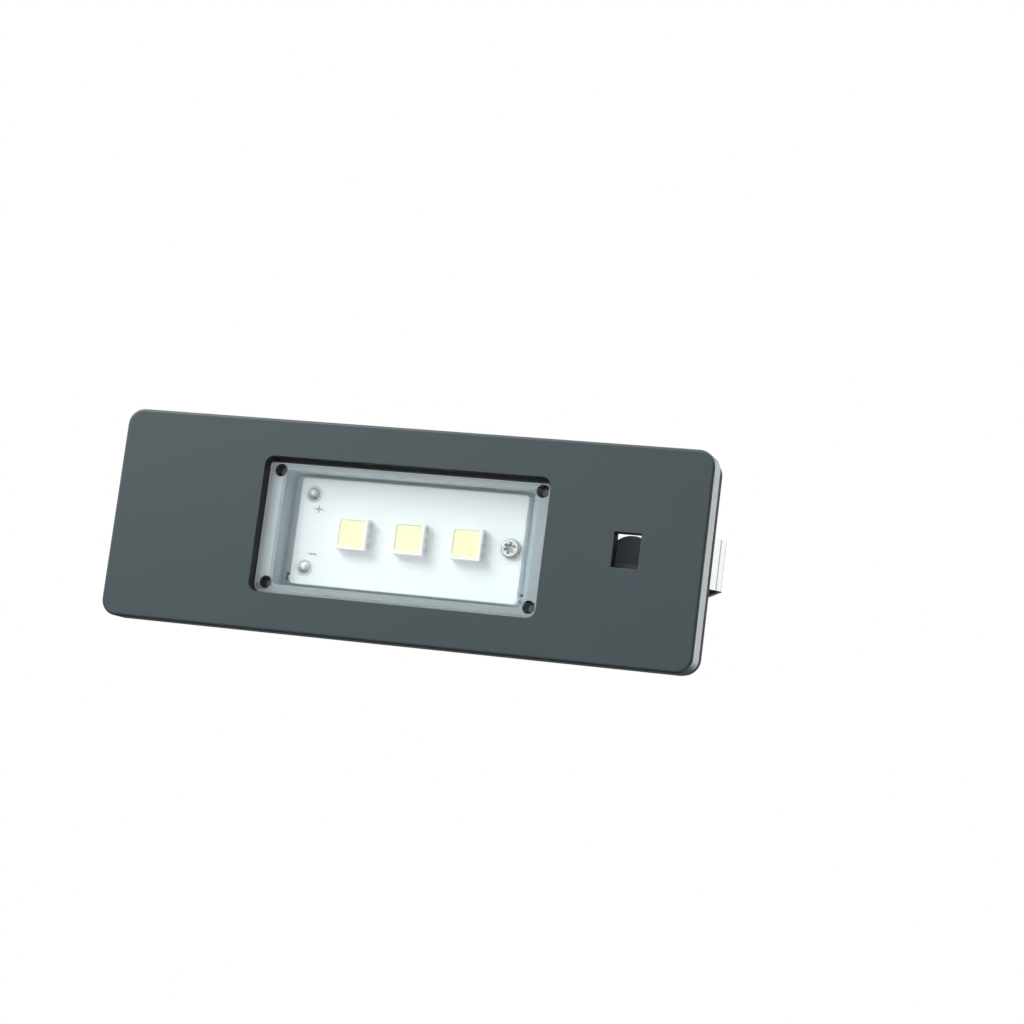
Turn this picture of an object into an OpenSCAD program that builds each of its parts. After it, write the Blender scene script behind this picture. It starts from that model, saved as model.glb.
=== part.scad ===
// Number plate lamp: a recessed LED lamp for the edge of a boot lid, in millimetres.
// It stands as photographed: X along the lamp to the spring clip, Z up,
// Y from the lit face (minus) into the car (plus). The origin is the middle of the panel seat.

/* [Bezel] */
// Length of the bezel
bezel_l = 97; // [92:0.5:110]
// Height of the bezel
bezel_h = 33.6; // [31:0.2:40]
// Corner radius of the bezel
bezel_r = 2.6; // [1.5:0.1:5]
// Thickness of the face plate
plate_t = 2.4; // [2:0.1:3]
// Depth of the plate's side wall
wall_t = 4; // [3.2:0.1:4.6]
// Round along the front edge
edge_r = 0.45; // [0.2:0.05:0.8]
// Depth of the step between plate and gasket
step_t = 1.2; // [1:0.1:2.5]
// How far the step stands inside the bezel's outline
step_in = 1.1; // [0.6:0.1:2]

/* [Window] */
// Length of the window as a share of the bezel's length
window_share = 0.4866; // [0.45:0.005:0.5]
// Height of the plate above and below the window
window_rail = 6; // [5.6:0.1:7]
// Corner radius of the window
window_r = 1.5; // [0.8:0.1:2.5]

/* [Release hole] */
// Length of the release hole
hole_l = 4.2; // [4:0.1:6]
// Height of the release hole
hole_h = 5.4; // [4.2:0.1:7]
// Distance of the release hole's middle from the clip tab's inner face
hole_off = 3.1; // [2.8:0.1:4]
// Height of the release hole's middle over the lamp's middle
hole_z = 0.7; // [-2:0.1:2]
// Width of the arched stop tongue behind the release hole
stop_w = 7.6; // [6:0.2:8]
// Thickness of the stop tongue
stop_t = 1; // [0.8:0.1:1.5]

/* [Spigot frame] */
// Length over the spigot frame as a share of the bezel's length
spigot_share = 0.8516; // [0.82:0.005:0.87]
// Height of the seat above and below the spigot frame
seat_rail = 4; // [3.4:0.1:4.4]
// Wall of the spigot frame
spigot_t = 0.9; // [0.7:0.05:1]
// How far the spigot frame stands out behind the gasket
spigot_out = 3.4; // [2.5:0.1:5]
// Length of the key pockets in the long walls
key_l = 2.8; // [2:0.1:4]
// How far the key pockets bulge outwards
key_out = 0.5; // [0.3:0.05:0.6]
// Distance of the key pocket from the middle, towards the hook
key_x = 1; // [-4:0.5:6]
// Length of the locating hook
hook_out = 3.4; // [2.5:0.1:5]
// Thickness of the locating hook
hook_t = 1.5; // [1.2:0.1:2]
// Width of the locating hook
hook_w = 11; // [8:0.5:14]

// Length of the lugs that hold the lamp body behind its rim
lug_l = 5; // [3:0.5:8]
// Height of those lugs
lug_out = 0.9; // [0.7:0.05:1]

/* [Clip tab] */
// Room for the panel between the gasket and the hook or the clip
panel_gap = 2.2; // [2.1:0.1:3]
// Height of the clip's middle over the lamp's middle
clip_z = 1; // [-2:0.1:2]
// Thickness of the clip tab
tab_t = 2.4; // [2.3:0.05:3]
// Width of the clip tab
tab_w = 13; // [12:0.2:15]
// How far the clip tab stands out behind the spigot frame
tab_out = 10.3; // [9:0.1:12]
// Thickness of the tab's inner wall, between slot and lamp body
tab_in = 1; // [0.8:0.05:1.2]
// Height of the ridges along the tab's edges
ridge_h = 0.4; // [0.2:0.05:0.6]

/* [Gasket] */
// Thickness of the foam gasket
gasket_t = 1.8; // [1.5:0.1:3]
// How far the gasket's edge stands inside the bezel's outline
gasket_in = 0.3; // [0.2:0.05:1]
// Gap between gasket and spigot frame at the long sides
gasket_gap = 0.5; // [0.3:0.05:0.7]
// Gap between gasket and spigot frame at the ends
gasket_end = 1.1; // [0.9:0.05:1.5]

/* [Lens] */
// How far the lens lies under the bezel's face
lens_sink = 1.2; // [0.8:0.1:1.4]
// Gap between lens and window
lens_gap = 0.3; // [0.15:0.05:0.5]
// Gap between lens and the lamp body's rim
lens_back = 0.04; // [0.02:0.01:0.06]
// Width of the bevel round the lens
bevel_w = 0.7; // [0.4:0.1:1]
// Depth of the bevel round the lens
bevel_d = 0.5; // [0.2:0.05:0.6]
// Diameter of the lens pins
pin_d = 1.9; // [1.5:0.1:2.1]
// Length of the lens pins
pin_l = 2; // [1.5:0.1:2.4]
// Distance of the lens pins from the window's edges
pin_in = 1.85; // [1.7:0.05:2]
// Clearance round pins in their holes
pin_gap = 0.08; // [0.04:0.01:0.15]

/* [Lamp body] */
// How far the body's rear stands past the window at each end
body_past = 2.7; // [2:0.1:3.4]
// How far the body's front rim stands past the window on each side
rim_past = 0.8; // [0.6:0.05:0.9]
// Depth of the front rim
rim_d = 4.4; // [4:0.1:5]
// Width of the ledge between window and pocket at the ends
ledge_end = 2.9; // [2.9:0.1:3.2]
// Width of the ledge between window and pocket at the long sides
ledge_side = 1.6; // [1.5:0.1:1.9]
// Thickness of the wall behind the driver board
back_t = 1.2; // [1:0.1:1.6]
// Height of the rear rib and end blocks over the wall
block_t = 3; // [2.2:0.1:4]
// Width of the rear rib that holds the heat sink's flange
rib_w = 3.1; // [2.8:0.1:4]
// Length of the end block by the clip
block_l = 6.8; // [6:0.1:8]
// Lean of the side wall with the window
lean = 1.2; // [0.6:0.1:1.4]
// How far the side wall's window stands inside the pocket at each end
side_in = 1.1; // [0.8:0.1:2.6]
// Height of the wedge block over the side wall
wedge_out = 2.4; // [1.6:0.1:2.6]
// Length of the wedge block past the end of the body
wedge_past = 2; // [1:0.1:3]
// Diameter of the ejector mark
mark_d = 4.7; // [3:0.1:5.5]

/* [Connector] */
// Outer length of the connector shroud
shroud_l = 8.2; // [7.6:0.1:9]
// Outer height of the connector shroud
shroud_h = 5; // [4.6:0.1:6]
// Length of the connector's mouth
mouth_l = 5.6; // [5.2:0.1:5.8]
// Height of the connector's mouth
mouth_h = 2.9; // [2.7:0.1:3.2]
// Depth of the connector's mouth
mouth_d = 7; // [5:0.2:8]
// How far the shroud stands out of the wall
shroud_out = 10; // [8.5:0.2:11]
// Distance of the connector's middle from the driver board's end
plug_in = 4.2; // [4:0.1:5]
// Diameter of the terminals
terminal_d = 1; // [0.8:0.05:1.1]
// Pitch of the terminals
terminal_pitch = 2.5; // [2.3:0.1:2.8]

/* [Lighting] */
// Depth of the LED board's face under the bezel's face
board_d = 5; // [4.6:0.1:5.6]
// Gap between LED board and pocket at the ends
board_end = 1.8; // [1.5:0.1:2.2]
// Gap between LED board and pocket at the long sides
board_side = 0.7; // [0.6:0.1:1]
// Thickness of the LED board
board_t = 1; // [0.8:0.1:1.1]
// Thickness of the heat sink's sheet
sink_t = 0.8; // [0.6:0.05:1]
// Inner radius of the sheet's fold
fold_r = 0.25; // [0.1:0.05:0.3]
// Side of the square LED package
led_s = 5; // [4.6:0.1:5.4]
// Height of the LED package
led_t = 1.5; // [1:0.1:1.6]
// Side of the phosphor square
phosphor_s = 4.3; // [3.8:0.1:4.4]
// Pitch of the LEDs as a share of the board's length
led_share = 0.2513; // [0.22:0.005:0.26]
// Place of the middle LED
led_x = 0.6; // [0:0.1:0.8]
// Diameter of the board screw's head
screw_head = 3.1; // [2.8:0.1:3.3]
// Height of the board screw's head
screw_t = 0.8; // [0.6:0.1:1.2]
// Diameter of the board screw's shank
screw_d = 1.7; // [1.5:0.05:1.8]
// Distance of the board screw from the board's end
screw_in = 1.9; // [1.8:0.1:2.1]
// Diameter of the solder joints
solder_d = 2; // [1.6:0.1:2.2]
// Diameter of the leads
lead_d = 0.9; // [0.7:0.05:1]
// Distance of the leads from the board's long sides
lead_side = 2.6; // [2.3:0.1:3]
// Distance of the leads from the board's end
lead_in = 2.25; // [2:0.05:2.5]

/* [Driver] */
// Space for the driver's parts behind the heat sink
driver_gap = 2.2; // [1.8:0.1:3]
// Thickness of the driver board
driver_t = 0.8; // [0.6:0.1:1]
// How far the driver board stands inside the LED board at each end
driver_end = 1.2; // [0.9:0.1:1.4]
// How far the driver board stands inside the LED board at the long sides
driver_side = 1.8; // [1.5:0.1:1.9]
// Clearance between driver board and chamber
driver_fit = 0.25; // [0.15:0.05:0.4]

/* [Spring clip] */
// Thickness of the spring strip
strip_t = 0.5; // [0.4:0.05:0.5]
// Width of the spring strip
strip_w = 7.8; // [6:0.1:8.4]
// Clearance of the strip in the tab's slot
strip_gap = 0.05; // [0.03:0.01:0.08]
// Depth of the tab's slot
slot_d = 7.4; // [6:0.1:8.5]
// Reach of the clip's end plate past the tab
clip_reach = 3.1; // [2.6:0.1:4]
// Lean of the clip's leaf outwards
leaf_lean = 24; // [18:1:26]
// Length of the clip's lead-in lip
lip_l = 2.2; // [1.6:0.1:3]
// Bend radius of the clip
bend_r = 0.8; // [0.6:0.05:1]

/* [Hidden] */
$fn = 48;
window_l = window_share * bezel_l;
window_h = bezel_h - 2 * window_rail;
spigot_l = spigot_share * bezel_l;
spigot_h = bezel_h - 2 * seat_rail;
pin_span_x = window_l - 2 * pin_in;
pin_span_z = window_h - 2 * pin_in;
body_l = window_l + 2 * body_past;
rim_l = window_l + 2 * rim_past;
rim_h = window_h + 2 * rim_past;
pocket_l = window_l - 2 * ledge_end;
pocket_h = window_h - 2 * ledge_side;
side_l = pocket_l - 2 * side_in;
board_l = pocket_l - 2 * board_end;
board_h = pocket_h - 2 * board_side;
led_pitch = led_share * board_l;
lead_span = board_h - 2 * lead_side;
driver_l = board_l - 2 * driver_end;
driver_h = board_h - 2 * driver_side;
plug_x = driver_l / 2 - plug_in;
chips_l = 16.8;
chip_gap = (driver_l - plug_in - terminal_pitch / 2 - 0.9 - chips_l) / 5;
capacitor_x = -driver_l / 2 + chip_gap + 0.8;
resistor_x = capacitor_x + chip_gap + 2.4;
regulator_x = resistor_x + chip_gap + 4.4;
rectifier_x = regulator_x + chip_gap + 6;
seat_d = wall_t + step_t + gasket_t;
face_y = -seat_d;
spigot_d = seat_d + spigot_out;
tab_d = spigot_d + tab_out;
lens_t = plate_t - lens_sink;
ledge_d = board_d + board_t + sink_t;
floor_d = ledge_d + driver_gap + driver_t;
wall_d = floor_d + back_t;
body_d = wall_d + block_t;
rim_end = plate_t + rim_d;
spigot_in_l = spigot_l - 2 * spigot_t;
spigot_in_h = spigot_h - 2 * spigot_t;
tab_x1 = spigot_l / 2 + 0.7;
tab_x0 = tab_x1 - tab_t;
hole_x = tab_x0 - hole_off;
slot_x0 = tab_x0 + tab_in;
slot_w = strip_t + 2 * strip_gap;
slot_x1 = slot_x0 + slot_w;
leg_x = slot_x0 + slot_w / 2;
rear_z0 = -(rim_h / 2 - 1.7);
rear_z1 = rim_h / 2 - lug_out + 0.1;
block_x = body_l / 2 - block_l;
chamber_l = driver_l + 2 * driver_fit;
chamber_z1 = driver_h / 2 + driver_fit + 0.4;
flange_z0 = rear_z0 + lean + 0.9;
flange_z1 = flange_z0 + sink_t;
chamber_z0 = flange_z0 - 0.15;
driver_z0 = flange_z1 + 0.2;
sink_l = board_l;
sink_z1 = board_h / 2;
flange_l = side_l + 1;
flange_end = body_d - 1;
screw_x = board_l / 2 - screw_in;
lead_x = -(board_l / 2 - lead_in);
plug_z = 0.1;
shroud_d = wall_d + shroud_out;
mouth_floor = shroud_d - mouth_d;
cavity_t = led_t * 0.6;

// Draws a flat shape given in X and Z between two depths under the bezel's face.
module deep(d0, d1) {
    translate([0, face_y + d1, 0])
        rotate([90, 0, 0])
            linear_extrude(d1 - d0)
                children();
}

// Draws a profile given in Y and Z from one place along the lamp to another.
module along(x0, x1) {
    translate([x0, 0, 0])
        rotate([90, 0, 90])
            linear_extrude(x1 - x0)
                children();
}

module plate_shape(l, h, r) {
    square([l - 2 * r, h], center = true);
    square([l, h - 2 * r], center = true);
    for (x = [-1, 1], z = [-1, 1])
        translate([x * (l / 2 - r), z * (h / 2 - r)])
            circle(r);
}

module box_shape(x0, x1, z0, z1) {
    translate([x0, z0])
        square([x1 - x0, z1 - z0]);
}

module peg(x, z, d, d0, d1) {
    deep(d0, d1)
        translate([x, z])
            circle(d = d);
}

// The plate's side wall as a profile of one width, with both front edges rounded.
module plate_profile(w) {
    translate([face_y + edge_r, -w / 2])
        square([wall_t - edge_r, w]);
    translate([face_y, -w / 2 + edge_r])
        square([2 * edge_r, w - 2 * edge_r]);
    for (z = [-1, 1])
        translate([face_y + edge_r, z * (w / 2 - edge_r)])
            circle(edge_r, $fn = 24);
}

// Face plate: one run along, one run across and a turned piece at each corner.
module face_plate() {
    along(-(bezel_l / 2 - bezel_r), bezel_l / 2 - bezel_r)
        plate_profile(bezel_h);
    translate([0, 0, -(bezel_h / 2 - bezel_r)])
        linear_extrude(bezel_h - 2 * bezel_r)
            rotate(-90)
                mirror([1, 0])
                    plate_profile(bezel_l);
    for (x = [-1, 1], z = [-1, 1])
        translate([x * (bezel_l / 2 - bezel_r), 0, z * (bezel_h / 2 - bezel_r)])
            rotate([-90, 0, 0])
                rotate_extrude() {
                    translate([0, face_y])
                        square([bezel_r - edge_r, wall_t]);
                    translate([0, face_y + edge_r])
                        square([bezel_r, wall_t - edge_r]);
                    translate([bezel_r - edge_r, face_y + edge_r])
                        circle(edge_r, $fn = 24);
                }
}

module spigot_wall() {
    deep(plate_t - 0.2, spigot_d)
        difference() {
            union() {
                plate_shape(spigot_l, spigot_h, 1.2);
                for (z = [-1, 1])
                    translate([-key_x, z * (spigot_h / 2)])
                        square([key_l, 2 * key_out], center = true);
            }
            plate_shape(spigot_in_l, spigot_in_h, 0.6);
            for (z = [-1, 1])
                translate([-key_x, z * (spigot_in_h / 2)])
                    square([key_l - 1.6, 2 * key_out], center = true);
        }
}

// Lugs on the long walls' inner faces; the lamp body snaps in behind the plate under them.
module lugs() {
    for (s = [0, 180], x = [-window_l / 3, window_l / 4])
        rotate([0, s, 0])
            along(x - lug_l / 2, x + lug_l / 2)
                polygon([[face_y + rim_end + 0.05, spigot_in_h / 2 + 0.3],
                    [face_y + rim_end + 0.05, spigot_in_h / 2 - lug_out],
                    [face_y + rim_end + 0.5, spigot_in_h / 2 - lug_out],
                    [face_y + rim_end + 1.9, spigot_in_h / 2 - 0.1],
                    [face_y + rim_end + 1.9, spigot_in_h / 2 + 0.3]]);
}

// Tongue at the far end that hooks behind the panel before the clip snaps in.
module locating_hook() {
    hook_d = seat_d + panel_gap;
    x0 = -spigot_l / 2 - hook_out;
    deep(hook_d, hook_d + hook_t)
        box_shape(x0 + 1, -spigot_l / 2 + 0.4, clip_z - hook_w / 2, clip_z + hook_w / 2);
    deep(hook_d, hook_d + hook_t)
        box_shape(x0, x0 + 1, clip_z - hook_w / 2 + 1, clip_z + hook_w / 2 - 1);
    for (z = [-1, 1])
        deep(hook_d, hook_d + hook_t)
            translate([x0 + 1, clip_z + z * (hook_w / 2 - 1)])
                circle(1);
    for (z = [-1, 1])
        translate([0, 0, clip_z + z * (hook_w / 2 - 1.6) - 0.5])
            linear_extrude(1)
                polygon([[-spigot_l / 2 + 0.3, face_y + hook_d + 0.5],
                    [x0 + 1.2, face_y + hook_d + hook_t - 0.2],
                    [x0 + 1.2, face_y + hook_d + hook_t],
                    [-spigot_l / 2 + 0.3, face_y + hook_d + hook_t + 2]]);
}

// Tab with the clip's slot, ridges along both edges and a bevelled end.
module clip_tab() {
    z0 = clip_z - tab_w / 2;
    difference() {
        union() {
            translate([0, 0, z0])
                linear_extrude(tab_w)
                    polygon([[tab_x0, face_y + plate_t - 0.2], [tab_x1, face_y + plate_t - 0.2],
                        [tab_x1, face_y + tab_d - 0.4], [tab_x1 - 0.4, face_y + tab_d],
                        [tab_x0 + 0.4, face_y + tab_d], [tab_x0, face_y + tab_d - 0.4]]);
            for (z = [z0 + 0.5, z0 + tab_w - 0.5])
                translate([tab_x1, face_y + seat_d + 1, z])
                    rotate([-90, 0, 0])
                        cylinder(r = ridge_h, h = tab_d - seat_d - 2.4, $fn = 24);
        }
        deep(tab_d - slot_d, tab_d + 1)
            box_shape(slot_x0, slot_x1, clip_z - strip_w / 2 - 0.15, clip_z + strip_w / 2 + 0.15);
        translate([slot_x1, face_y + tab_d, clip_z - strip_w / 2 - 0.15])
            linear_extrude(strip_w + 0.3)
                polygon([[-0.1, -0.65], [0.65, 0.1], [-0.1, 0.1]]);
    }
}

// Arched tongue behind the release hole, which stops the tool.
module stop_tongue() {
    d0 = spigot_d - stop_t - 0.2;
    x = hole_x - 1.6;
    z = hole_z - 0.3;
    deep(d0, d0 + stop_t) {
        box_shape(x - stop_w / 2, x + stop_w / 2, -spigot_in_h / 2 - 0.3, z);
        translate([x, z])
            circle(stop_w / 2);
    }
}

module bezel() {
    color([0.1, 0.11, 0.12])
        difference() {
            union() {
                difference() {
                    face_plate();
                    deep(plate_t, wall_t + 1)
                        plate_shape(spigot_in_l, spigot_in_h, 0.6);
                }
                deep(wall_t - 0.2, wall_t + step_t)
                    difference() {
                        plate_shape(bezel_l - 2 * step_in, bezel_h - 2 * step_in, bezel_r - 0.8);
                        plate_shape(spigot_in_l, spigot_in_h, 0.6);
                    }
                spigot_wall();
                lugs();
                locating_hook();
                clip_tab();
                stop_tongue();
            }
            deep(-1, plate_t + 1)
                plate_shape(window_l, window_h, window_r);
            deep(-1, plate_t + 1)
                translate([hole_x, hole_z])
                    square([hole_l, hole_h], center = true);
            for (x = [-0.21, 0.21, 0.452], z = [-1, 1])
                deep(spigot_d - 0.6, spigot_d + 1)
                    translate([x * spigot_l, z * (spigot_h / 2)])
                        square([1, 4], center = true);
        }
}

module gasket() {
    color([0.17, 0.18, 0.18])
        deep(wall_t + step_t, seat_d)
            difference() {
                plate_shape(bezel_l - 2 * gasket_in, bezel_h - 2 * gasket_in, bezel_r);
                plate_shape(spigot_l + 2 * gasket_end, spigot_h + 2 * gasket_gap, 0.8);
                for (z = [-1, 1])
                    translate([-key_x, z * (spigot_h / 2)])
                        square([key_l + 0.6, 2 * key_out + 0.6], center = true);
            }
}

// Bevelled border: each side is a straight profile run between the corners.
module lens() {
    l = window_l - 2 * lens_gap;
    h = window_h - 2 * lens_gap;
    front = face_y + lens_sink;
    color([0.85, 0.92, 0.95, 0.4])
        union() {
            difference() {
                deep(lens_sink, plate_t - lens_back)
                    plate_shape(l, h, window_r - lens_gap);
                for (s = [0, 180])
                    rotate([0, s, 0])
                        along(-l / 2 - 1, l / 2 + 1)
                            polygon([[front - 1, h / 2 - bevel_w], [front, h / 2 - bevel_w],
                                [front + bevel_d, h / 2], [front + bevel_d, h / 2 + 1],
                                [front - 1, h / 2 + 1]]);
                for (s = [-1, 1])
                    translate([0, 0, -h / 2 - 1])
                        linear_extrude(h + 2)
                            polygon([[s * (l / 2 - bevel_w), front - 1],
                                [s * (l / 2 - bevel_w), front], [s * l / 2, front + bevel_d],
                                [s * (l / 2 + 1), front + bevel_d], [s * (l / 2 + 1), front - 1]]);
            }
            for (x = [-1, 1], z = [-1, 1])
                peg(x * pin_span_x / 2, z * pin_span_z / 2, pin_d, plate_t - 0.2, plate_t + pin_l);
        }
}

// Rear of the lamp body, seen from behind, with the bevelled corner by the plug.
module rear_shape() {
    polygon([[-body_l / 2, rear_z0 + lean], [body_l / 2, rear_z0 + lean],
        [body_l / 2, rear_z1 - 4.8], [body_l / 2 - 3.7, rear_z1],
        [-body_l / 2 + 3.7, rear_z1], [-body_l / 2, rear_z1 - 4.8]]);
}

module side_profile(top) {
    polygon([[face_y + rim_end - 0.2, rear_z0], [face_y + top, rear_z0 + lean],
        [face_y + top, rear_z0 + lean + rib_w], [face_y + rim_end - 0.2, rear_z0 + lean + rib_w]]);
}

module wedge_block() {
    along(block_x + 3, body_l / 2 + wedge_past)
        polygon([[face_y + rim_end - 0.2, rear_z0 + 1], [face_y + rim_end - 0.2, rear_z0],
            [face_y + rim_end + 1.4, rear_z0 - min(wedge_out, spigot_in_h / 2 + rear_z0 - 0.3)],
            [face_y + body_d - 0.2, rear_z0 + lean],
            [face_y + body_d - 0.2, rear_z0 + lean + 1.4]]);
}

module shroud() {
    deep(wall_d - 0.2, shroud_d)
        translate([plug_x, plug_z])
            plate_shape(shroud_l, shroud_h, 0.3);
    deep(wall_d - 0.2, shroud_d - 3)
        translate([plug_x + 0.4, plug_z - shroud_h / 2])
            square([shroud_l - 2.4, 1.4], center = true);
}

module lamp_body() {
    color([0.13, 0.14, 0.15])
        difference() {
            union() {
                deep(plate_t, rim_end)
                    plate_shape(rim_l, rim_h, 1);
                deep(rim_end - 0.2, wall_d)
                    rear_shape();
                along(-body_l / 2, body_l / 2)
                    side_profile(body_d);
                for (s = [0, 1])
                    mirror([s, 0, 0])
                        deep(wall_d - 0.2, body_d)
                            intersection() {
                                rear_shape();
                                box_shape(block_x, body_l, -rim_h, rim_h);
                            }
                wedge_block();
                shroud();
            }
            deep(plate_t - 1, ledge_d)
                plate_shape(pocket_l, pocket_h, 0.8);
            deep(ledge_d - 0.1, floor_d)
                box_shape(-chamber_l / 2, chamber_l / 2, chamber_z0, chamber_z1);
            deep(ledge_d - 2, flange_end + 0.2)
                box_shape(-flange_l / 2 - 0.2, flange_l / 2 + 0.2, chamber_z0,
                    flange_z1 + fold_r + 0.1);
            along(-side_l / 2, side_l / 2)
                polygon([[face_y + ledge_d + 0.9, chamber_z0 + 0.1],
                    [face_y + ledge_d + 0.1, rear_z0 - 1],
                    [face_y + body_d - 0.5, rear_z0 - 1],
                    [face_y + body_d - 1.5, chamber_z0 + 0.1]]);
            for (x = [-1, 1], z = [-1, 1])
                peg(x * pin_span_x / 2, z * pin_span_z / 2, pin_d + 2 * pin_gap,
                    plate_t - 1, plate_t + pin_l + 0.2);
            deep(mouth_floor, shroud_d + 1)
                translate([plug_x - 0.5, plug_z])
                    square([mouth_l, mouth_h], center = true);
            for (s = [-1, 1])
                deep(floor_d - 1, shroud_d)
                    translate([plug_x - 0.5 + s * terminal_pitch / 2, plug_z])
                        square(terminal_d * 0.8 + 0.06, center = true);
            peg(screw_x, 0, screw_d + 0.1, ledge_d - 1, wall_d - 0.15);
            difference() {
                peg(body_l / 2 - block_l / 2 - 0.2, -2.6, mark_d, body_d - 0.15, body_d + 1);
                peg(body_l / 2 - block_l / 2 - 0.2, -2.6, mark_d - 0.5, body_d - 1, body_d + 2);
            }
        }
}

// Everything inside a fold whose corner stands at the given Y and Z.
module fold_shape(y, z, r, w, h) {
    translate([y + r, z])
        square([w - r, h]);
    translate([y, z + r])
        square([w, h - r]);
    translate([y + r, z + r])
        circle(r, $fn = 24);
}

// One sheet: a plate under the LED board and a flange folded back to the side window.
module heat_sink() {
    y = face_y + board_d + board_t;
    w = face_y + flange_end - y;
    h = sink_z1 - flange_z0;
    color([0.86, 0.87, 0.88])
        difference() {
            union() {
                along(-sink_l / 2, sink_l / 2)
                    difference() {
                        fold_shape(y, flange_z0, sink_t + fold_r, w, h);
                        fold_shape(y + sink_t, flange_z1, fold_r, w, h);
                    }
                deep(ledge_d + fold_r, flange_end)
                    box_shape(-flange_l / 2, flange_l / 2, flange_z0, flange_z1);
            }
            peg(screw_x, 0, screw_d + 0.4, 0, body_d);
            for (z = [-1, 1])
                peg(lead_x, z * lead_span / 2, lead_d + 0.6, 0, body_d);
        }
}

module led_board() {
    color([0.95, 0.97, 0.97])
        difference() {
            deep(board_d, board_d + board_t)
                plate_shape(board_l, board_h, 0.6);
            peg(screw_x, 0, screw_d + 0.3, 0, body_d);
            for (z = [-1, 1])
                peg(lead_x, z * lead_span / 2, lead_d + 0.1, 0, body_d);
        }
}

module led_package(n) {
    x = led_x + (n - 2) * led_pitch;
    color([0.93, 0.93, 0.9])
        difference() {
            deep(board_d - led_t, board_d)
                translate([x, 0])
                    square(led_s, center = true);
            deep(board_d - led_t - 1, board_d - led_t + cavity_t)
                translate([x, 0])
                    plate_shape(phosphor_s, phosphor_s, 0.5);
            for (s = [-1, 1], z = [-1, 0, 1])
                deep(board_d - led_t * 0.6, board_d + 1)
                    translate([x + s * led_s / 2, z * led_s * 0.3])
                        square([0.3, led_s * 0.16], center = true);
        }
}

module led_phosphor(n) {
    x = led_x + (n - 2) * led_pitch;
    color([0.98, 0.93, 0.6])
        deep(board_d - led_t + 0.1, board_d - led_t + cavity_t)
            translate([x, 0])
                plate_shape(phosphor_s - 0.04, phosphor_s - 0.04, 0.45);
}

module board_screw() {
    color([0.55, 0.56, 0.58])
        difference() {
            union() {
                peg(screw_x, 0, screw_head, board_d - screw_t * 0.6, board_d);
                peg(screw_x, 0, screw_head - 0.5, board_d - screw_t, board_d - screw_t * 0.6 + 0.05);
                peg(screw_x, 0, screw_d, board_d - 0.1, wall_d - 0.3);
            }
            for (a = [20, 80, 140])
                deep(board_d - screw_t - 1, board_d - screw_t * 0.35)
                    translate([screw_x, 0])
                        rotate(a)
                            square([screw_head * 0.62, 0.5], center = true);
        }
}

module solder(s) {
    color([0.75, 0.76, 0.78])
        translate([lead_x, face_y + board_d, s * lead_span / 2])
            rotate([90, 0, 0])
                rotate_extrude($fn = 36)
                    intersection() {
                        translate([0, -solder_d * 0.75])
                            circle(solder_d * 0.9);
                        square([solder_d, solder_d]);
                    }
}

module lead(s) {
    color(s > 0 ? [0.7, 0.1, 0.08] : [0.08, 0.08, 0.09])
        peg(lead_x, s * lead_span / 2, lead_d, board_d, floor_d - driver_t);
}

module driver_board() {
    color([0.1, 0.35, 0.2])
        difference() {
            deep(floor_d - driver_t, floor_d)
                box_shape(-driver_l / 2, driver_l / 2, driver_z0, driver_h / 2 + 0.4);
            for (s = [-1, 1])
                deep(0, body_d)
                    translate([plug_x - 0.5 + s * terminal_pitch / 2, plug_z])
                        square(terminal_d * 0.8 + 0.1, center = true);
            peg(screw_x, 0, screw_d + 0.8, 0, body_d);
        }
}

// A chip on the driver board's front: place, length, height and thickness.
module chip(x, z, l, h, t) {
    deep(floor_d - driver_t - t, floor_d - driver_t)
        translate([x, z])
            square([l, h], center = true);
}

module rectifier() {
    color([0.08, 0.08, 0.09]) {
        chip(rectifier_x, 0, 4.7, 3.8, 1.4);
        for (s = [-1, 1], z = [-1.27, 1.27])
            chip(rectifier_x + s * 2.75, z, 0.9, 0.7, 0.3);
    }
}

module regulator() {
    color([0.08, 0.08, 0.09]) {
        chip(regulator_x, 0, 3.9, 4.9, 1.4);
        for (s = [-1, 1], z = [-1.905, -0.635, 0.635, 1.905])
            chip(regulator_x + s * 2.35, z, 0.9, 0.42, 0.3);
    }
}

module resistor(n) {
    color([0.06, 0.06, 0.07])
        chip(resistor_x, n == 1 ? 1.9 : -1.9, 3.2, 1.6, 0.6);
}

module capacitor() {
    color([0.62, 0.5, 0.36])
        chip(capacitor_x, 0, 1.6, 3.2, 1.3);
}

// Square shank through wall and driver board, round blade end in the mouth.
module terminal(s) {
    color([0.8, 0.78, 0.7])
        union() {
            deep(floor_d - driver_t - 0.6, mouth_floor + 0.1)
                translate([plug_x - 0.5 + s * terminal_pitch / 2, plug_z])
                    square(terminal_d * 0.8, center = true);
            peg(plug_x - 0.5 + s * terminal_pitch / 2, plug_z, terminal_d,
                mouth_floor, shroud_d - 1.8);
            translate([plug_x - 0.5 + s * terminal_pitch / 2, face_y + shroud_d - 1.8, plug_z])
                rotate([90, 0, 0])
                    sphere(d = terminal_d, $fn = 24);
        }
}

function turn(a) = [cos(a), sin(a)];
function bend(c, r, a0, a1) = [for (i = [0:8]) c + r * turn(a0 + (a1 - a0) * i / 8)];

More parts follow.
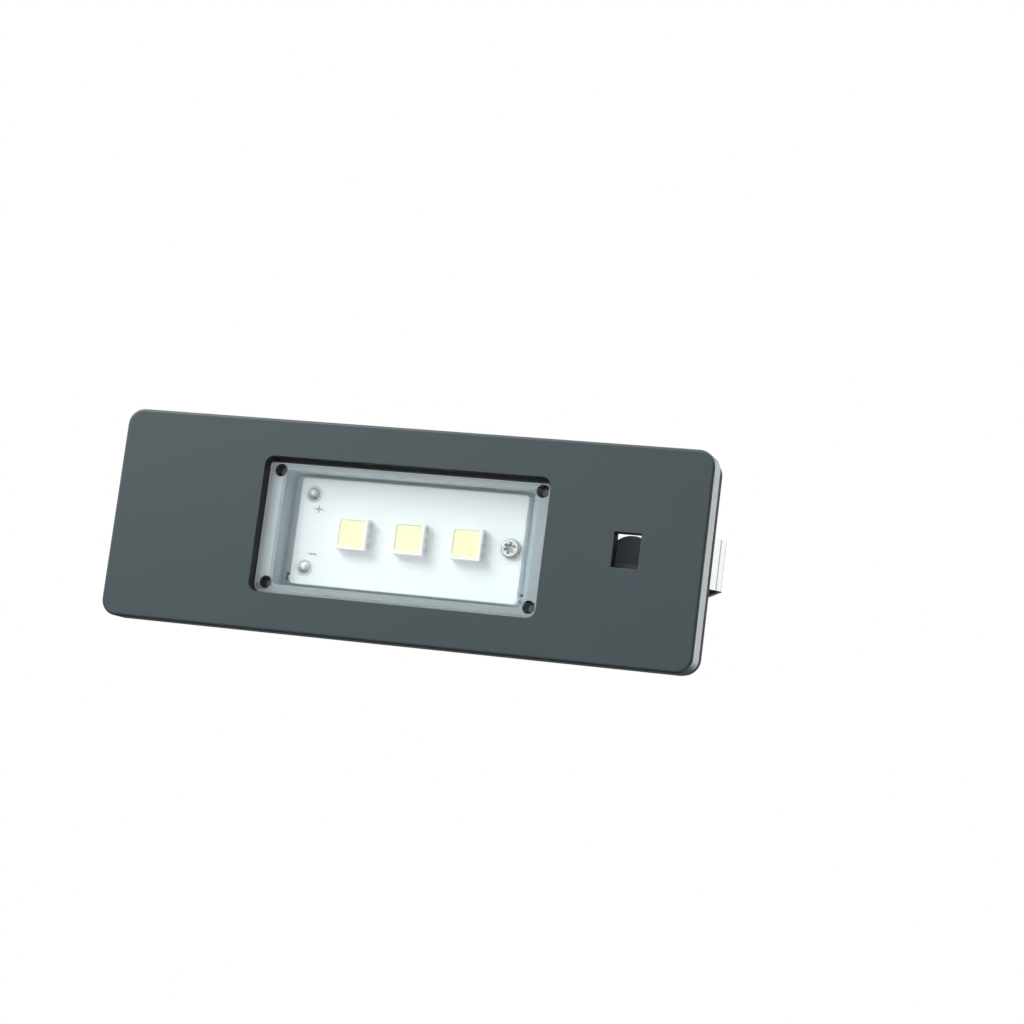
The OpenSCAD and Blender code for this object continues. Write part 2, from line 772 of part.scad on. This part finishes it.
// Spring strip: leg in the tab's slot, end plate, leaf that leans out and lead-in lip.
module spring_clip() {
    end_y = face_y + tab_d + strip_t / 2;
    a = 90 - leaf_lean;
    b = 128;
    start = [leg_x, face_y + tab_d - slot_d + 0.6];
    c1 = [leg_x + bend_r, end_y - bend_r];
    c2 = [tab_x1 + clip_reach - bend_r, end_y - bend_r];
    tip_drop = strip_t / 2 + bend_r * sin(b - 90) + lip_l * sin(b);
    leaf_l = (c2[1] - panel_gap - tip_drop) / sin(a);
    c3 = c2 + leaf_l * turn(-a);
    sides = [for (r = [bend_r + strip_t / 2, bend_r - strip_t / 2])
        concat([[c1[0] - r, start[1]]], bend(c1, r, 180, 90), bend(c2, r, 90, 90 - a),
            bend(c3, r, 90 - a, 90 - b), [c3 + r * turn(90 - b) + lip_l * turn(-b)])];
    inner = sides[1];
    color([0.78, 0.79, 0.8])
        translate([0, 0, clip_z - strip_w / 2])
            linear_extrude(strip_w)
                polygon(concat(sides[0], [for (i = [len(inner) - 1:-1:0]) inner[i]]));
}

bezel();
gasket();
lens();
lamp_body();
heat_sink();
led_board();
led_package(1);  // led_package_1
led_package(2);  // led_package_2
led_package(3);  // led_package_3
led_phosphor(1);  // led_phosphor_1
led_phosphor(2);  // led_phosphor_2
led_phosphor(3);  // led_phosphor_3
board_screw();
solder(1);  // solder_plus
solder(-1);  // solder_minus
lead(1);  // lead_plus
lead(-1);  // lead_minus
driver_board();
rectifier();
regulator();
resistor(1);  // resistor_1
resistor(2);  // resistor_2
capacitor();
terminal(1);  // terminal_plus
terminal(-1);  // terminal_minus
spring_clip();
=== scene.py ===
"""Number plate lamp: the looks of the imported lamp, in metres and in its frame. +X runs along the lamp to
the spring clip, +Y from the lit face into the car, +Z up as photographed."""
import math

import bmesh
import bpy
from mathutils import Matrix, Vector


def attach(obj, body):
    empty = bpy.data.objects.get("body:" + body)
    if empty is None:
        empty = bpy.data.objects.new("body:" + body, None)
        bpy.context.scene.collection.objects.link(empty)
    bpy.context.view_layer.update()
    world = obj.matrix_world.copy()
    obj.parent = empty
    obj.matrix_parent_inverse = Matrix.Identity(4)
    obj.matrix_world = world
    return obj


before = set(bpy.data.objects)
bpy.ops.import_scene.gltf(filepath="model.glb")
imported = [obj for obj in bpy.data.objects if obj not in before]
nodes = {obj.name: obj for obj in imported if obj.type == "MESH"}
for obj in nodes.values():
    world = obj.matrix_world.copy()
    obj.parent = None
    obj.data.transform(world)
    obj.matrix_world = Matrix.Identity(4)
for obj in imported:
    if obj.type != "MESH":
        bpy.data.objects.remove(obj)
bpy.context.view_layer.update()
scene = bpy.context.scene
MM = 0.001

# Camera. It stands right of and a little below the lamp, as the photographer's did, with a long lens and
# the picture leaning a few degrees. The four values come from a fit to the lamp's straight edges.
camera_stand = Vector((124.54, -334.7, -40.7)) * MM
camera_aim = Vector((16.12, -1.2, 5.84)) * MM
camera_roll = math.radians(7.25)
camera = bpy.data.objects.new("camera", bpy.data.cameras.new("camera"))
camera.data.sensor_width = 36
camera.data.lens = 80.5
camera.data.clip_start, camera.data.clip_end = 0.01, 20
camera.location = camera_stand
aim_turn = (camera_aim - camera_stand).to_track_quat("-Z", "Y").to_matrix()
camera.rotation_euler = (aim_turn @ Matrix.Rotation(camera_roll, 3, "Z")).to_euler()
scene.collection.objects.link(camera)
scene.camera = camera
scene.view_settings.view_transform = "Standard"


# Shader maths. A Socket is one output of a node; Python's operators on it add Math nodes to its material.
# A mask is 1 where it holds and 0 elsewhere, so masks times each other hold where all do.
class Socket:
    def __init__(self, tree, out):
        self.tree, self.out = tree, out

    def maths(self, operation, *values):
        inputs = {f"i{place}": value for place, value in enumerate(values)}
        return add_node(self.tree, "ShaderNodeMath", {"operation": operation}, **inputs)

    def __add__(self, other):
        return self.maths("ADD", self, other)

    def __sub__(self, other):
        return self.maths("SUBTRACT", self, other)

    def __rsub__(self, other):
        return self.maths("SUBTRACT", other, self)

    def __mul__(self, other):
        return self.maths("MULTIPLY", self, other)

    def __lt__(self, other):
        return self.maths("LESS_THAN", self, other)

    def __gt__(self, other):
        return self.maths("GREATER_THAN", self, other)

    def __or__(self, other):
        return self.maths("MAXIMUM", self, other)

    def __abs__(self):
        return self.maths("ABSOLUTE", self)

    __radd__ = __add__


def set_inlet(tree, inlet, value):
    if isinstance(value, Socket):
        tree.links.new(value.out, inlet)
    elif inlet.type == "RGBA":
        inlet.default_value = (*value, 1)
    else:
        inlet.default_value = value


def add_node(tree, kind, settings=None, outlet=0, **sockets):
    """Adds one node: its settings first, then its sockets by name, or by number as i0, i1 and so on."""
    made = tree.nodes.new(kind)
    for name, value in (settings or {}).items():
        setattr(made, name, value)
    for name, value in sockets.items():
        numbered = name[0] == "i" and name[1:].isdigit()
        set_inlet(tree, made.inputs[int(name[1:]) if numbered else name.replace("_", " ")], value)
    return Socket(tree, made.outputs[outlet]) if made.outputs else None


def blend_colours(tree, share, first, second):
    return add_node(tree, "ShaderNodeMix", {"data_type": "RGBA"}, 2, i0=share, i6=first, i7=second)


class Finish:
    """A material with one Principled shader; place, and its parts x, y and z, is the point on the lamp in mm."""

    def __init__(self, name, colour, **sockets):
        self.material = bpy.data.materials.new(name)
        self.material.use_nodes = True
        self.tree = self.material.node_tree
        self.shader = self.tree.nodes["Principled BSDF"]
        place = self.add("ShaderNodeTexCoord", outlet=3)
        self.place = self.add("ShaderNodeVectorMath", {"operation": "SCALE"}, i0=place, Scale=1 / MM)
        self.x, self.y, self.z = (self.add("ShaderNodeSeparateXYZ", outlet=n, i0=self.place) for n in range(3))
        self.feed(Base_Color=colour, **sockets)

    def add(self, kind, settings=None, outlet=0, **sockets):
        return add_node(self.tree, kind, settings, outlet, **sockets)

    def feed(self, **sockets):
        for name, value in sockets.items():
            set_inlet(self.tree, self.shader.inputs[name.replace("_", " ")], value)

    def show(self, surface):
        """Makes another shader the one that shows."""
        self.tree.links.new(surface.out, self.tree.nodes["Material Output"].inputs["Surface"])

    def noise(self, per_mm, detail):
        return self.add("ShaderNodeTexNoise", Vector=self.place, Scale=per_mm, Detail=detail)

    def lines(self, per_mm, detail):
        """Noise that is finer along some axes than along others, as rolling and drawing leave it."""
        stretched = self.add("ShaderNodeMapping", Vector=self.place, Scale=per_mm)
        return self.add("ShaderNodeTexNoise", Vector=stretched, Scale=1.0, Detail=detail)

    def mix(self, share, first, second):
        return blend_colours(self.tree, share, first, second)

    def bump(self, height, deep_mm, softened=0.0):
        """Feeds the normal from a height in 0 to 1 that stands deep_mm, over edges rounded by softened mm."""
        extra = {}
        if softened:
            extra["Normal"] = self.add("ShaderNodeBevel", {"samples": 6}, Radius=softened * MM)
        self.feed(Normal=self.add("ShaderNodeBump", Height=height, Distance=deep_mm * MM, Strength=1.0, **extra))

    def put_on(self, *names):
        for name in names:
            self.put_on_object(nodes[name])

    def put_on_object(self, piece):
        piece.data.materials.clear()
        piece.data.materials.append(self.material)


# Studio. Large soft lamps: the key at the upper left, one above, a broad dim one at the right, a bright tall
# one behind the clip end that shows in the bezel's side wall, and one behind for the back.
def softbox(name, place, width, height, power, colour=(1, 1, 1)):
    data = bpy.data.lights.new(name, "AREA")
    data.shape, data.size, data.size_y = "RECTANGLE", width, height
    data.energy, data.color = power, colour
    lamp = bpy.data.objects.new(name, data)
    lamp.location = place
    lamp.rotation_euler = (-Vector(place)).to_track_quat("-Z", "Y").to_euler()
    scene.collection.objects.link(lamp)


softbox("key_softbox", (-0.84, -0.7, 0.82), 0.9, 0.9, 21, (0.93, 0.985, 1))
softbox("top_softbox", (0.1, 0.15, 1.1), 0.9, 0.9, 7)
softbox("right_softbox", (1.1, -0.05, 0.2), 0.8, 0.9, 2.0)
softbox("edge_softbox", (0.42, 1.13, 0.16), 0.5, 0.8, 3.7, (0.94, 0.985, 1))
softbox("back_softbox", (-0.7, 0.9, 0.5), 0.9, 0.7, 8)

# Backdrop. White all round for the camera and through glass. In reflections it is white too, but for the
# unlit room beside the camera and below the table's edge, which gives the black edges their dark lines.
white, unlit_room = (1, 1, 1), (0.05, 0.05, 0.055)
CAMERA_RAY, GLOSSY_RAY, GLASS_RAY = 0, 3, 6


def ray_kind(tree, *kinds):
    """1 for a ray of any of the kinds, each the number of its outlet on the Light Path node."""
    share = add_node(tree, "ShaderNodeLightPath", outlet=kinds[0])
    for kind in kinds[1:]:
        share = share | add_node(tree, "ShaderNodeLightPath", outlet=kind)
    return share


def rise(value, low, high):
    """0 below low, 1 above high and straight between."""
    return add_node(value.tree, "ShaderNodeMapRange", i0=value, i1=low, i2=high)


world = bpy.data.worlds.new("studio")
scene.world = world
world.use_nodes = True
room = world.node_tree
room.nodes.clear()
way = add_node(room, "ShaderNodeTexCoord")
beside = add_node(room, "ShaderNodeVectorMath", {"operation": "DOT_PRODUCT"}, 1, i0=way, i1=(0.72, -0.69, -0.05))
below = add_node(room, "ShaderNodeSeparateXYZ", outlet=2, i0=way) * -1
dark = (rise(beside, 0.72, 0.9) | rise(below, 0.0, 0.1)) * ray_kind(room, GLOSSY_RAY)
backdrop = add_node(room, "ShaderNodeBackground", Color=blend_colours(room, dark, white, unlit_room), Strength=1.0)
sky = add_node(room, "ShaderNodeBackground", Color=(0.94, 0.98, 1.0), Strength=0.55)
in_view = ray_kind(room, CAMERA_RAY, GLOSSY_RAY, GLASS_RAY)
surround = add_node(room, "ShaderNodeMixShader", i0=in_view, i1=sky, i2=backdrop)
add_node(room, "ShaderNodeOutputWorld", Surface=surround)

# Table. Pale paper well below the lamp. The camera sees it almost white, with a trace of the lamp's shadow,
# and what reflects it sees the unlit room.
table_depth, table_reach = -0.32, 1.5
table_mesh = bpy.data.meshes.new("table")
table_mesh.from_pydata([(x * table_reach, y * table_reach, table_depth)
                        for x, y in ((-1, -1), (1, -1), (1, 1), (-1, 1))], [], [(0, 1, 2, 3)])
table = bpy.data.objects.new("table", table_mesh)
scene.collection.objects.link(table)
paper_white = (0.7, 0.7, 0.7)
paper = Finish("paper", paper_white, Roughness=0.8)
plain = paper.add("ShaderNodeBsdfDiffuse", Color=paper_white)
fill = paper.add("ShaderNodeEmission", Color=white, Strength=0.6)
lit = paper.add("ShaderNodeAddShader", i0=plain, i1=fill)
glow = paper.add("ShaderNodeEmission", Color=white, Strength=1.0)
shown = paper.add("ShaderNodeMixShader", i0=0.85, i1=lit, i2=glow)
seen = paper.add("ShaderNodeMixShader", i0=ray_kind(paper.tree, CAMERA_RAY, GLASS_RAY), i1=plain, i2=shown)
mirrored = paper.add("ShaderNodeEmission", Color=unlit_room, Strength=1.0)
paper.show(paper.add("ShaderNodeMixShader", i0=ray_kind(paper.tree, GLOSSY_RAY) * 0.9, i1=seen, i2=mirrored))
paper.put_on_object(table)

# Driver board. Green glass-fibre board behind the heat sink, with the rectifier, the regulator, two chip
# resistors and a ceramic capacitor soldered to its front.
green_board = Finish("green_board", (0.02, 0.13, 0.06), Roughness=0.35)
weave = green_board.add("ShaderNodeTexWave", {"bands_direction": "DIAGONAL"}, Vector=green_board.place, Scale=3.0)
green_board.feed(Base_Color=green_board.mix(weave * 0.25, (0.015, 0.11, 0.05), (0.04, 0.2, 0.09)))
green_board.bump(weave, 0.01, 0.05)
green_board.put_on("driver_board")
chip_black = Finish("chip_black", (0.012, 0.012, 0.013), Roughness=0.6)
chip_black.bump(chip_black.noise(14, 3), 0.02, 0.1)
chip_black.put_on("rectifier", "regulator", "resistor_1", "resistor_2")
fired_brown, end_cap_grey, end_cap_from = (0.28, 0.17, 0.09), (0.6, 0.6, 0.6), 1.2
ceramic = Finish("ceramic", fired_brown, Roughness=0.5)
ceramic.feed(Base_Color=ceramic.mix(abs(ceramic.z) > end_cap_from, fired_brown, end_cap_grey))
ceramic.bump(ceramic.noise(9, 3), 0.01, 0.08)
ceramic.put_on("capacitor")

# Terminals. Tinned brass pins pressed through the lamp body's wall into the connector's mouth, with the
# faint lengthwise lines of drawn wire.
tinned_brass = Finish("tinned_brass", (0.75, 0.72, 0.66), Metallic=1.0, Roughness=0.28)
drawn_wire = tinned_brass.lines((9, 0.4, 9), 3.0)
tinned_brass.feed(Base_Color=tinned_brass.mix(drawn_wire, (0.7, 0.67, 0.6), (0.8, 0.78, 0.73)),
                  Roughness=0.22 + drawn_wire * 0.16)
tinned_brass.bump(drawn_wire, 0.008, 0.06)
tinned_brass.put_on("terminal_plus", "terminal_minus")

# Lamp body. One black moulding. Its ledge and pocket behind the lens are sprayed grey as a reflector. The holes
# for the lens pins are dark, with a pale grey disc in the middle. A strip along the lens's top is left black,
# painted shade for the dark gap above the lens. The pocket walls are painted lighter towards the board, painted
# light against the shade there, and the bottom and right ledges darker than the top and left ones, painted light
# and shade for how the light falls.
bare_black = (0.014, 0.016, 0.018)
body_plastic = Finish("body_plastic", bare_black, Roughness=0.35)
x, y, z = body_plastic.x, body_plastic.y, body_plastic.z
board_face = -2.0
in_window, in_pocket = y < -4.5, y < -0.1
window_half_x, window_half_z = 23.9, 11.1
pocket_half_x, pocket_half_z = 21.1, 9.5
ledge_from_x, ledge_from_z = 21.3, 9.15
end_wall_from_x, end_wall_half_z = 19.3, 9.3
rim = in_window * (abs(x) < window_half_x) * (abs(z) < window_half_z)
pocket = in_pocket * (abs(x) < pocket_half_x) * (abs(z) < pocket_half_z)
sprayed = rim | pocket
pin_x, pin_z = abs(x) - 21.75, abs(z) - 8.95
from_pin = pin_x * pin_x + pin_z * pin_z
pin_hole_square, pin_floor_square, shade_strip_above = 1.0, 0.45, 9.95
# The strip above z 9.95 behind the window is left bare black: painted shade for the dark gap over the lens's top
# edge.
reflector = sprayed * (from_pin > pin_hole_square) * (1 - (z > shade_strip_above) * in_window)
pin_hole = (from_pin < pin_hole_square) * in_pocket
ledge = ((abs(x) > ledge_from_x) | (abs(z) > ledge_from_z)) * in_window
end_wall = (abs(x) > end_wall_from_x) * (abs(z) < end_wall_half_z)
mist = body_plastic.noise(1.1, 4)
# The pocket walls are painted lighter towards the board: painted light against the shade that falls there.
painted_light_towards_board = rise(y, -4.6, board_face)
end_grey = body_plastic.mix(painted_light_towards_board, (0.40, 0.48, 0.52), (0.60, 0.68, 0.71))
long_grey = body_plastic.mix(painted_light_towards_board, (0.4, 0.47, 0.51), (0.7, 0.76, 0.78))
# Painted light and shade: the bottom and right ledges are painted darker than the top and left ones, for how the
# light falls on them.
ledges_painted_darker = (z < -ledge_from_z) | (x > ledge_from_x)
ledge_grey = body_plastic.mix(ledges_painted_darker, (0.64, 0.7, 0.72), (0.35, 0.4, 0.41))
grey = body_plastic.mix(ledge, body_plastic.mix(end_wall, long_grey, end_grey), ledge_grey)
grey = body_plastic.mix(mist * 0.12, grey, (0.6, 0.65, 0.68))
hole_grey = body_plastic.mix(from_pin < pin_floor_square, (0.12, 0.135, 0.14), (0.62, 0.66, 0.67))
# Bare black plastic, also used for the painted shade strip over the lens, with the pin holes' dark ring and pale
# disc.
bare_and_shade_strip = body_plastic.mix(pin_hole, bare_black, hole_grey)
body_plastic.feed(Base_Color=body_plastic.mix(reflector, bare_and_shade_strip, grey),
                  Roughness=0.32 + mist * 0.06 + reflector * 0.2)
body_plastic.bump(body_plastic.noise(9, 3), 0.012, 0.12)
body_plastic.put_on("lamp_body")

# Heat sink. Bright rolled aluminium sheet, one piece with the flange that shows in the side window. The
# rolling left fine lines along the lamp.
aluminium_sheet = Finish("aluminium_sheet", (0.86, 0.87, 0.88), Metallic=1.0, Roughness=0.4)
grain = aluminium_sheet.lines((0.6, 14, 14), 4.0)
aluminium_sheet.feed(Base_Color=aluminium_sheet.mix(grain, (0.8, 0.81, 0.82), (0.9, 0.91, 0.92)),
                     Roughness=0.3 + grain * 0.2)
aluminium_sheet.bump(grain, 0.008, 0.1)
aluminium_sheet.put_on("heat_sink")

# LED board. White solder mask over copper, 1 mm thick. The mask sags a little over the two wide tracks that
# join the LEDs, and a plain plus and minus in grey print tell the leads apart.
lead_x, lead_z = -16.65, 5.9
led_row_x, led_pitch = 0.6, 9.5
track_z, track_half, track_reach = 1.6, 0.7, 15.5
white_board = Finish("white_board", (0.9, 0.94, 0.94), Roughness=0.4)
speck = white_board.noise(2.2, 4)
from_row = abs(white_board.x - led_row_x)
tracks = (abs(abs(white_board.z) - track_z) < track_half) * (from_row < track_reach)
white_board.feed(Base_Color=white_board.mix(speck, (0.91, 0.955, 0.95), (0.94, 0.975, 0.965)),
                 Roughness=0.36 + speck * 0.1)
white_board.bump(white_board.noise(6, 3) * 0.15 + tracks * 0.85, 0.03, 0.08)
white_board.put_on("led_board")


def solid_piece(name, corners, faces, finish, slot):
    """A mesh piece from corners in millimetres; it rides on the lamp."""
    mesh = bpy.data.meshes.new(name)
    mesh.from_pydata([(x * MM, y * MM, z * MM) for x, y, z in corners], [], faces)
    shape = bmesh.new()
    shape.from_mesh(mesh)
    bmesh.ops.recalc_face_normals(shape, faces=shape.faces)
    shape.to_mesh(mesh)
    shape.free()
    piece = bpy.data.objects.new(name, mesh)
    scene.collection.objects.link(piece)
    finish.put_on_object(piece)
    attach(piece, "root")


def bars(end_pairs):
    """Corners and faces of straight bars, each given as its ring of corners at one end and at the other."""
    corners, faces = [], []
    for near, far in end_pairs:
        first, count = len(corners), len(near)
        corners += near + far
        faces.append(tuple(range(first, first + count)))
        faces.append(tuple(range(first + 2 * count - 1, first + count - 1, -1)))
        for i in range(count):
            j = (i + 1) % count
            faces.append((first + i, first + j, first + count + j, first + count + i))
    return corners, faces


def turned(middles, profile, steps=40):
    """Corners and faces of a closed profile of radius and depth, turned round each middle in x and z."""
    corners, faces, count = [], [], len(profile)
    for mid_x, mid_z in middles:
        first = len(corners)
        for step in range(steps):
            angle = 2 * math.pi * step / steps
            corners += [(mid_x + r * math.cos(angle), y, mid_z + r * math.sin(angle)) for r, y in profile]
        for step in range(steps):
            here, after = first + step * count, first + (step + 1) % steps * count
            for i in range(count):
                j = (i + 1) % count
                faces.append((here + i, here + j, after + j, after + i))
    return corners, faces


grey_print = Finish("grey_print", (0.30, 0.34, 0.35), Roughness=0.6)
worn = grey_print.noise(7, 4)
grey_print.feed(Base_Color=grey_print.mix(worn, (0.24, 0.28, 0.29), (0.42, 0.46, 0.47)))
grey_print.bump(worn, 0.01)
arm, stroke, print_height = 0.62, 0.13, 0.02
plus = ((-arm, -stroke), (-stroke, -stroke), (-stroke, -arm), (stroke, -arm), (stroke, -stroke), (arm, -stroke),
        (arm, stroke), (stroke, stroke), (stroke, arm), (-stroke, arm), (-stroke, stroke), (-arm, stroke))
minus = ((-arm, -stroke), (arm, -stroke), (arm, stroke), (-arm, stroke))
sign_x, sign_z = lead_x + 1.1, lead_z - 2.3
signs = []
for sign, middle_z in ((plus, sign_z), (minus, -sign_z)):
    signs.append([[(sign_x + x, depth, middle_z + z) for x, z in sign]
                  for depth in (board_face, board_face - print_height)])
solid_piece("board_signs", *bars(signs), grey_print, "white_board")

# LED packages and phosphor. White resin housings, each with a square of yellow phosphor in clear silicone and
# three tinned feet on both sides, soldered to the board.
led_white = Finish("led_white", (0.88, 0.88, 0.85), Roughness=0.35)
led_white.feed(Base_Color=led_white.mix(led_white.noise(3, 3), (0.91, 0.92, 0.9), (0.95, 0.96, 0.94)))
led_white.bump(led_white.noise(8, 3), 0.01, 0.08)
led_white.put_on("led_package_1", "led_package_2", "led_package_3")
phosphor = Finish("phosphor", (0.98, 0.98, 0.64), Roughness=0.2)
grains = phosphor.noise(9, 4)
phosphor.feed(Base_Color=phosphor.mix(grains, (0.96, 0.96, 0.54), (0.985, 0.985, 0.65)),
              Roughness=0.16 + grains * 0.1)
phosphor.bump(grains, 0.012)
phosphor.put_on("led_phosphor_1", "led_phosphor_2", "led_phosphor_3")
bright_tin = Finish("bright_tin", (0.85, 0.86, 0.86), Metallic=1.0, Roughness=0.45)
bright_tin.feed(Base_Color=bright_tin.mix(bright_tin.noise(6, 3), (0.8, 0.81, 0.81), (0.9, 0.91, 0.91)))
bright_tin.bump(bright_tin.noise(9, 3), 0.01)
foot = ((2.34, 0), (2.34, 0.94), (2.4, 0.94), (2.42, 0.2), (2.5, 0.06), (2.66, 0))
foot_pitch, foot_half = 1.5, 0.33
feet = []
for led_x in (led_row_x - led_pitch, led_row_x, led_row_x + led_pitch):
    for side in (-1, 1):
        for foot_z in (-foot_pitch, 0, foot_pitch):
            feet.append([[(led_x + side * out, board_face - up, end) for out, up in foot]
                         for end in (foot_z - foot_half, foot_z + foot_half)])
solid_piece("led_feet", *bars(feet), bright_tin, "solder")

# Solder joints and board screw. Domed joints on tinned ring pads; a zinc-plated screw with a six-point recess
# clamps the board's other end. Its rim and recess are painted darker than the top of its head, painted shade.
solder = Finish("solder", (0.3, 0.32, 0.33), Metallic=1.0, Roughness=0.35)
frost = solder.noise(4, 4)
solder.feed(Base_Color=solder.mix(frost, (0.48, 0.5, 0.51), (0.68, 0.7, 0.71)), Roughness=0.42 + frost * 0.2)
solder.bump(frost, 0.03, 0.05)
solder.put_on("solder_plus", "solder_minus")
pad_face = board_face - 0.035
pad = ((0.99, board_face), (0.99, pad_face), (1.27, pad_face), (1.33, board_face))
solid_piece("ring_pads", *turned([(lead_x, lead_z), (lead_x, -lead_z)], pad), solder, "solder")
screw_steel = Finish("screw_steel", (0.5, 0.51, 0.52), Metallic=1.0, Roughness=0.34)
zinc = screw_steel.noise(5, 4)
head_top = screw_steel.mix(zinc, (0.66, 0.68, 0.68), (0.8, 0.82, 0.82))
# Painted shade: the head's side and its recess are painted darker than the head's top.
shaded_rim_and_recess = screw_steel.y > board_face - 0.5
screw_steel.feed(Base_Color=screw_steel.mix(shaded_rim_and_recess, head_top, (0.42, 0.44, 0.44)),
                 Roughness=0.3 + zinc * 0.2)
screw_steel.bump(zinc, 0.012, 0.08)
screw_steel.put_on("board_screw")

# Leads. Short stiff wires with a coloured sleeve, from the board back to the driver board.
for lead, name, colour, dusty in (("lead_plus", "lead_red", (0.5, 0.02, 0.015), (0.56, 0.05, 0.04)),
                                  ("lead_minus", "lead_black", (0.015, 0.015, 0.016), (0.03, 0.03, 0.032))):
    sleeve = Finish(name, colour, Roughness=0.35)
    sleeve.feed(Base_Color=sleeve.mix(sleeve.noise(3, 3), colour, dusty))
    sleeve.bump(sleeve.noise(12, 2), 0.01)
    sleeve.put_on(lead)

# Lens. Clear moulded polycarbonate with a bevelled border and four pins, pressed into the window. Thin white lines
# along the bevel's ends and bottom, and one near its top, are painted highlights, a matt white shader mixed in
# there. An ejector left its ring on the end by the clip.
clear_lens = Finish("clear_lens", (0.97, 0.99, 1.0), Roughness=0.03, IOR=1.5, Transmission_Weight=1.0)
x, y, z = clear_lens.x, clear_lens.y, clear_lens.z
highlight_from_x, highlight_from_z = 22.98, 10.28
top_highlight_low, top_highlight_high = 9.8, 9.95
ends = (abs(x) > highlight_from_x) * (z < top_highlight_high - 0.05)
highlight_at_top = (z > top_highlight_low) * (z < top_highlight_high) * (abs(x) < 22.9)
# Painted highlight: a matt white line along the bevel's ends, its bottom and near its top.
painted_highlight_edge = (ends | (z < -highlight_from_z) | highlight_at_top) * (y < -5.2)
clear_lens.feed(Alpha=0.12 + painted_highlight_edge * 0.4, Roughness=0.03 + painted_highlight_edge * 0.3)
highlight_white = clear_lens.add("ShaderNodeBsdfDiffuse", Color=(0.92, 0.95, 0.96))
clear = Socket(clear_lens.tree, clear_lens.shader.outputs["BSDF"])
clear_lens.show(clear_lens.add("ShaderNodeMixShader", i0=painted_highlight_edge * 0.85, i1=clear, i2=highlight_white))
clear_lens.put_on("lens")
lens_face, lens_ring_face = -5.8, -5.83
lens_ring = ((0.58, lens_face), (0.6, lens_ring_face), (0.68, lens_ring_face), (0.7, lens_face))
solid_piece("lens_ejector_ring", *turned([(21.4, 5.6)], lens_ring), clear_lens, "clear_lens")

# Bezel. One black moulding. The face and its side wall are a lighter blue-grey than the back: partly the satin
# grain of the mould's front half, which looks grey-green in daylight, and partly painted sheen of the soft light
# the face reflects. The back is left smooth, with the rings of the ejectors in its two hollows. A black band on
# the side wall along the face's edge is a painted dark reflection line. The front of the stop tongue, seen through
# the release hole, is painted pale, painted light, with a painted pool of light at its lower right.
bezel_plastic = Finish("bezel_plastic", (0.031, 0.050, 0.056), Roughness=0.38)
x, y, z = bezel_plastic.x, bezel_plastic.y, bezel_plastic.z
spigot_half_x, spigot_half_z, just_behind_face = 41.5, 13.0, -6.95
inside = (abs(x) < spigot_half_x) * (abs(z) < spigot_half_z) * (y > just_behind_face)
outer_wall = (abs(x) > 48.1) | (abs(z) > 16.4)
# A band on the side wall just behind the face's edge is left black: a painted dark reflection line along the edge.
painted_dark_edge = outer_wall * (y > -6.93) * (y < -6.58)
gasket_side = -2.95
# The face and side wall take a lighter blue-grey: satin grain and painted sheen of the soft light they reflect.
grain_and_sheen_side = (y < gasket_side) * (1 - inside) * (1 - painted_dark_edge)
tongue_x, tongue_half_x, tongue_half_z = 34.9, 3.85, 11.8
on_tongue = (abs(x - tongue_x) < tongue_half_x) * (abs(z) < tongue_half_z)
# The tongue's front is painted pale grey, painted light where it shows through the release hole, and near white at
# its lower right, a painted pool of the light that falls through the hole.
tongue_front = on_tongue * (y > 2.14) * (y < 2.26)
painted_light_spot = rise(x, 32.2, 35.0) * (z < -0.2) * tongue_front
grain_and_sheen_grey = bezel_plastic.mix(bezel_plastic.noise(0.08, 3), (0.029, 0.044, 0.050), (0.033, 0.049, 0.055))
tongue_painted_light = bezel_plastic.mix(painted_light_spot, (0.55, 0.61, 0.64), (0.95, 0.98, 0.98))
black = bezel_plastic.mix(tongue_front, (0.012, 0.014, 0.015), tongue_painted_light)
bezel_plastic.feed(Base_Color=bezel_plastic.mix(grain_and_sheen_side, black, grain_and_sheen_grey),
                   Roughness=0.40 + bezel_plastic.noise(3, 3) * 0.05 + inside * 0.25)
bezel_plastic.bump(bezel_plastic.noise(12, 4), 0.01, 0.12)
bezel_plastic.put_on("bezel")
plate_back, ring_face = -4.6, -4.54
back_ring = ((1.3, plate_back), (1.32, ring_face), (1.5, ring_face), (1.52, plate_back))
solid_piece("ejector_rings", *turned([(-33.5, 7.5), (-33.5, -7.5), (30.5, 8.5)], back_ring),
            bezel_plastic, "bezel_plastic")

# Gasket. Closed-cell foam, stamped from sheet, so its edge shows cut cells.
foam = Finish("foam", (0.02, 0.022, 0.023), Roughness=0.9)
cells = foam.add("ShaderNodeTexVoronoi", Vector=foam.place, Scale=4.0)
foam.feed(Base_Color=foam.mix(cells, (0.014, 0.015, 0.016), (0.034, 0.037, 0.038)))
foam.bump(cells, 0.12, 0.2)
foam.put_on("gasket")

# Spring clip. Bent from bright spring strip, with the fine lines of the rolling along it. A dark line on the lip
# that shows beyond the bezel is painted shade where the strip bends.
spring_steel = Finish("spring_steel", (0.5, 0.51, 0.5), Metallic=1.0, Roughness=0.3)
streak = spring_steel.lines((0.5, 0.5, 18), 4.0)
bend_shade_y, bend_shade_half, lip_from_x = 3.42, 0.09, 47
# Painted shade: a thin dark line across the lip where the strip bends.
bend_shade = (abs(spring_steel.y - bend_shade_y) < bend_shade_half) * (spring_steel.x > lip_from_x)
steel = spring_steel.mix(streak, (0.6, 0.61, 0.605), (0.7, 0.71, 0.705))
spring_steel.feed(Base_Color=spring_steel.mix(bend_shade, steel, (0.3, 0.31, 0.305)), Roughness=0.24 + streak * 0.2)
spring_steel.bump(streak, 0.006, 0.08)
spring_steel.put_on("spring_clip")
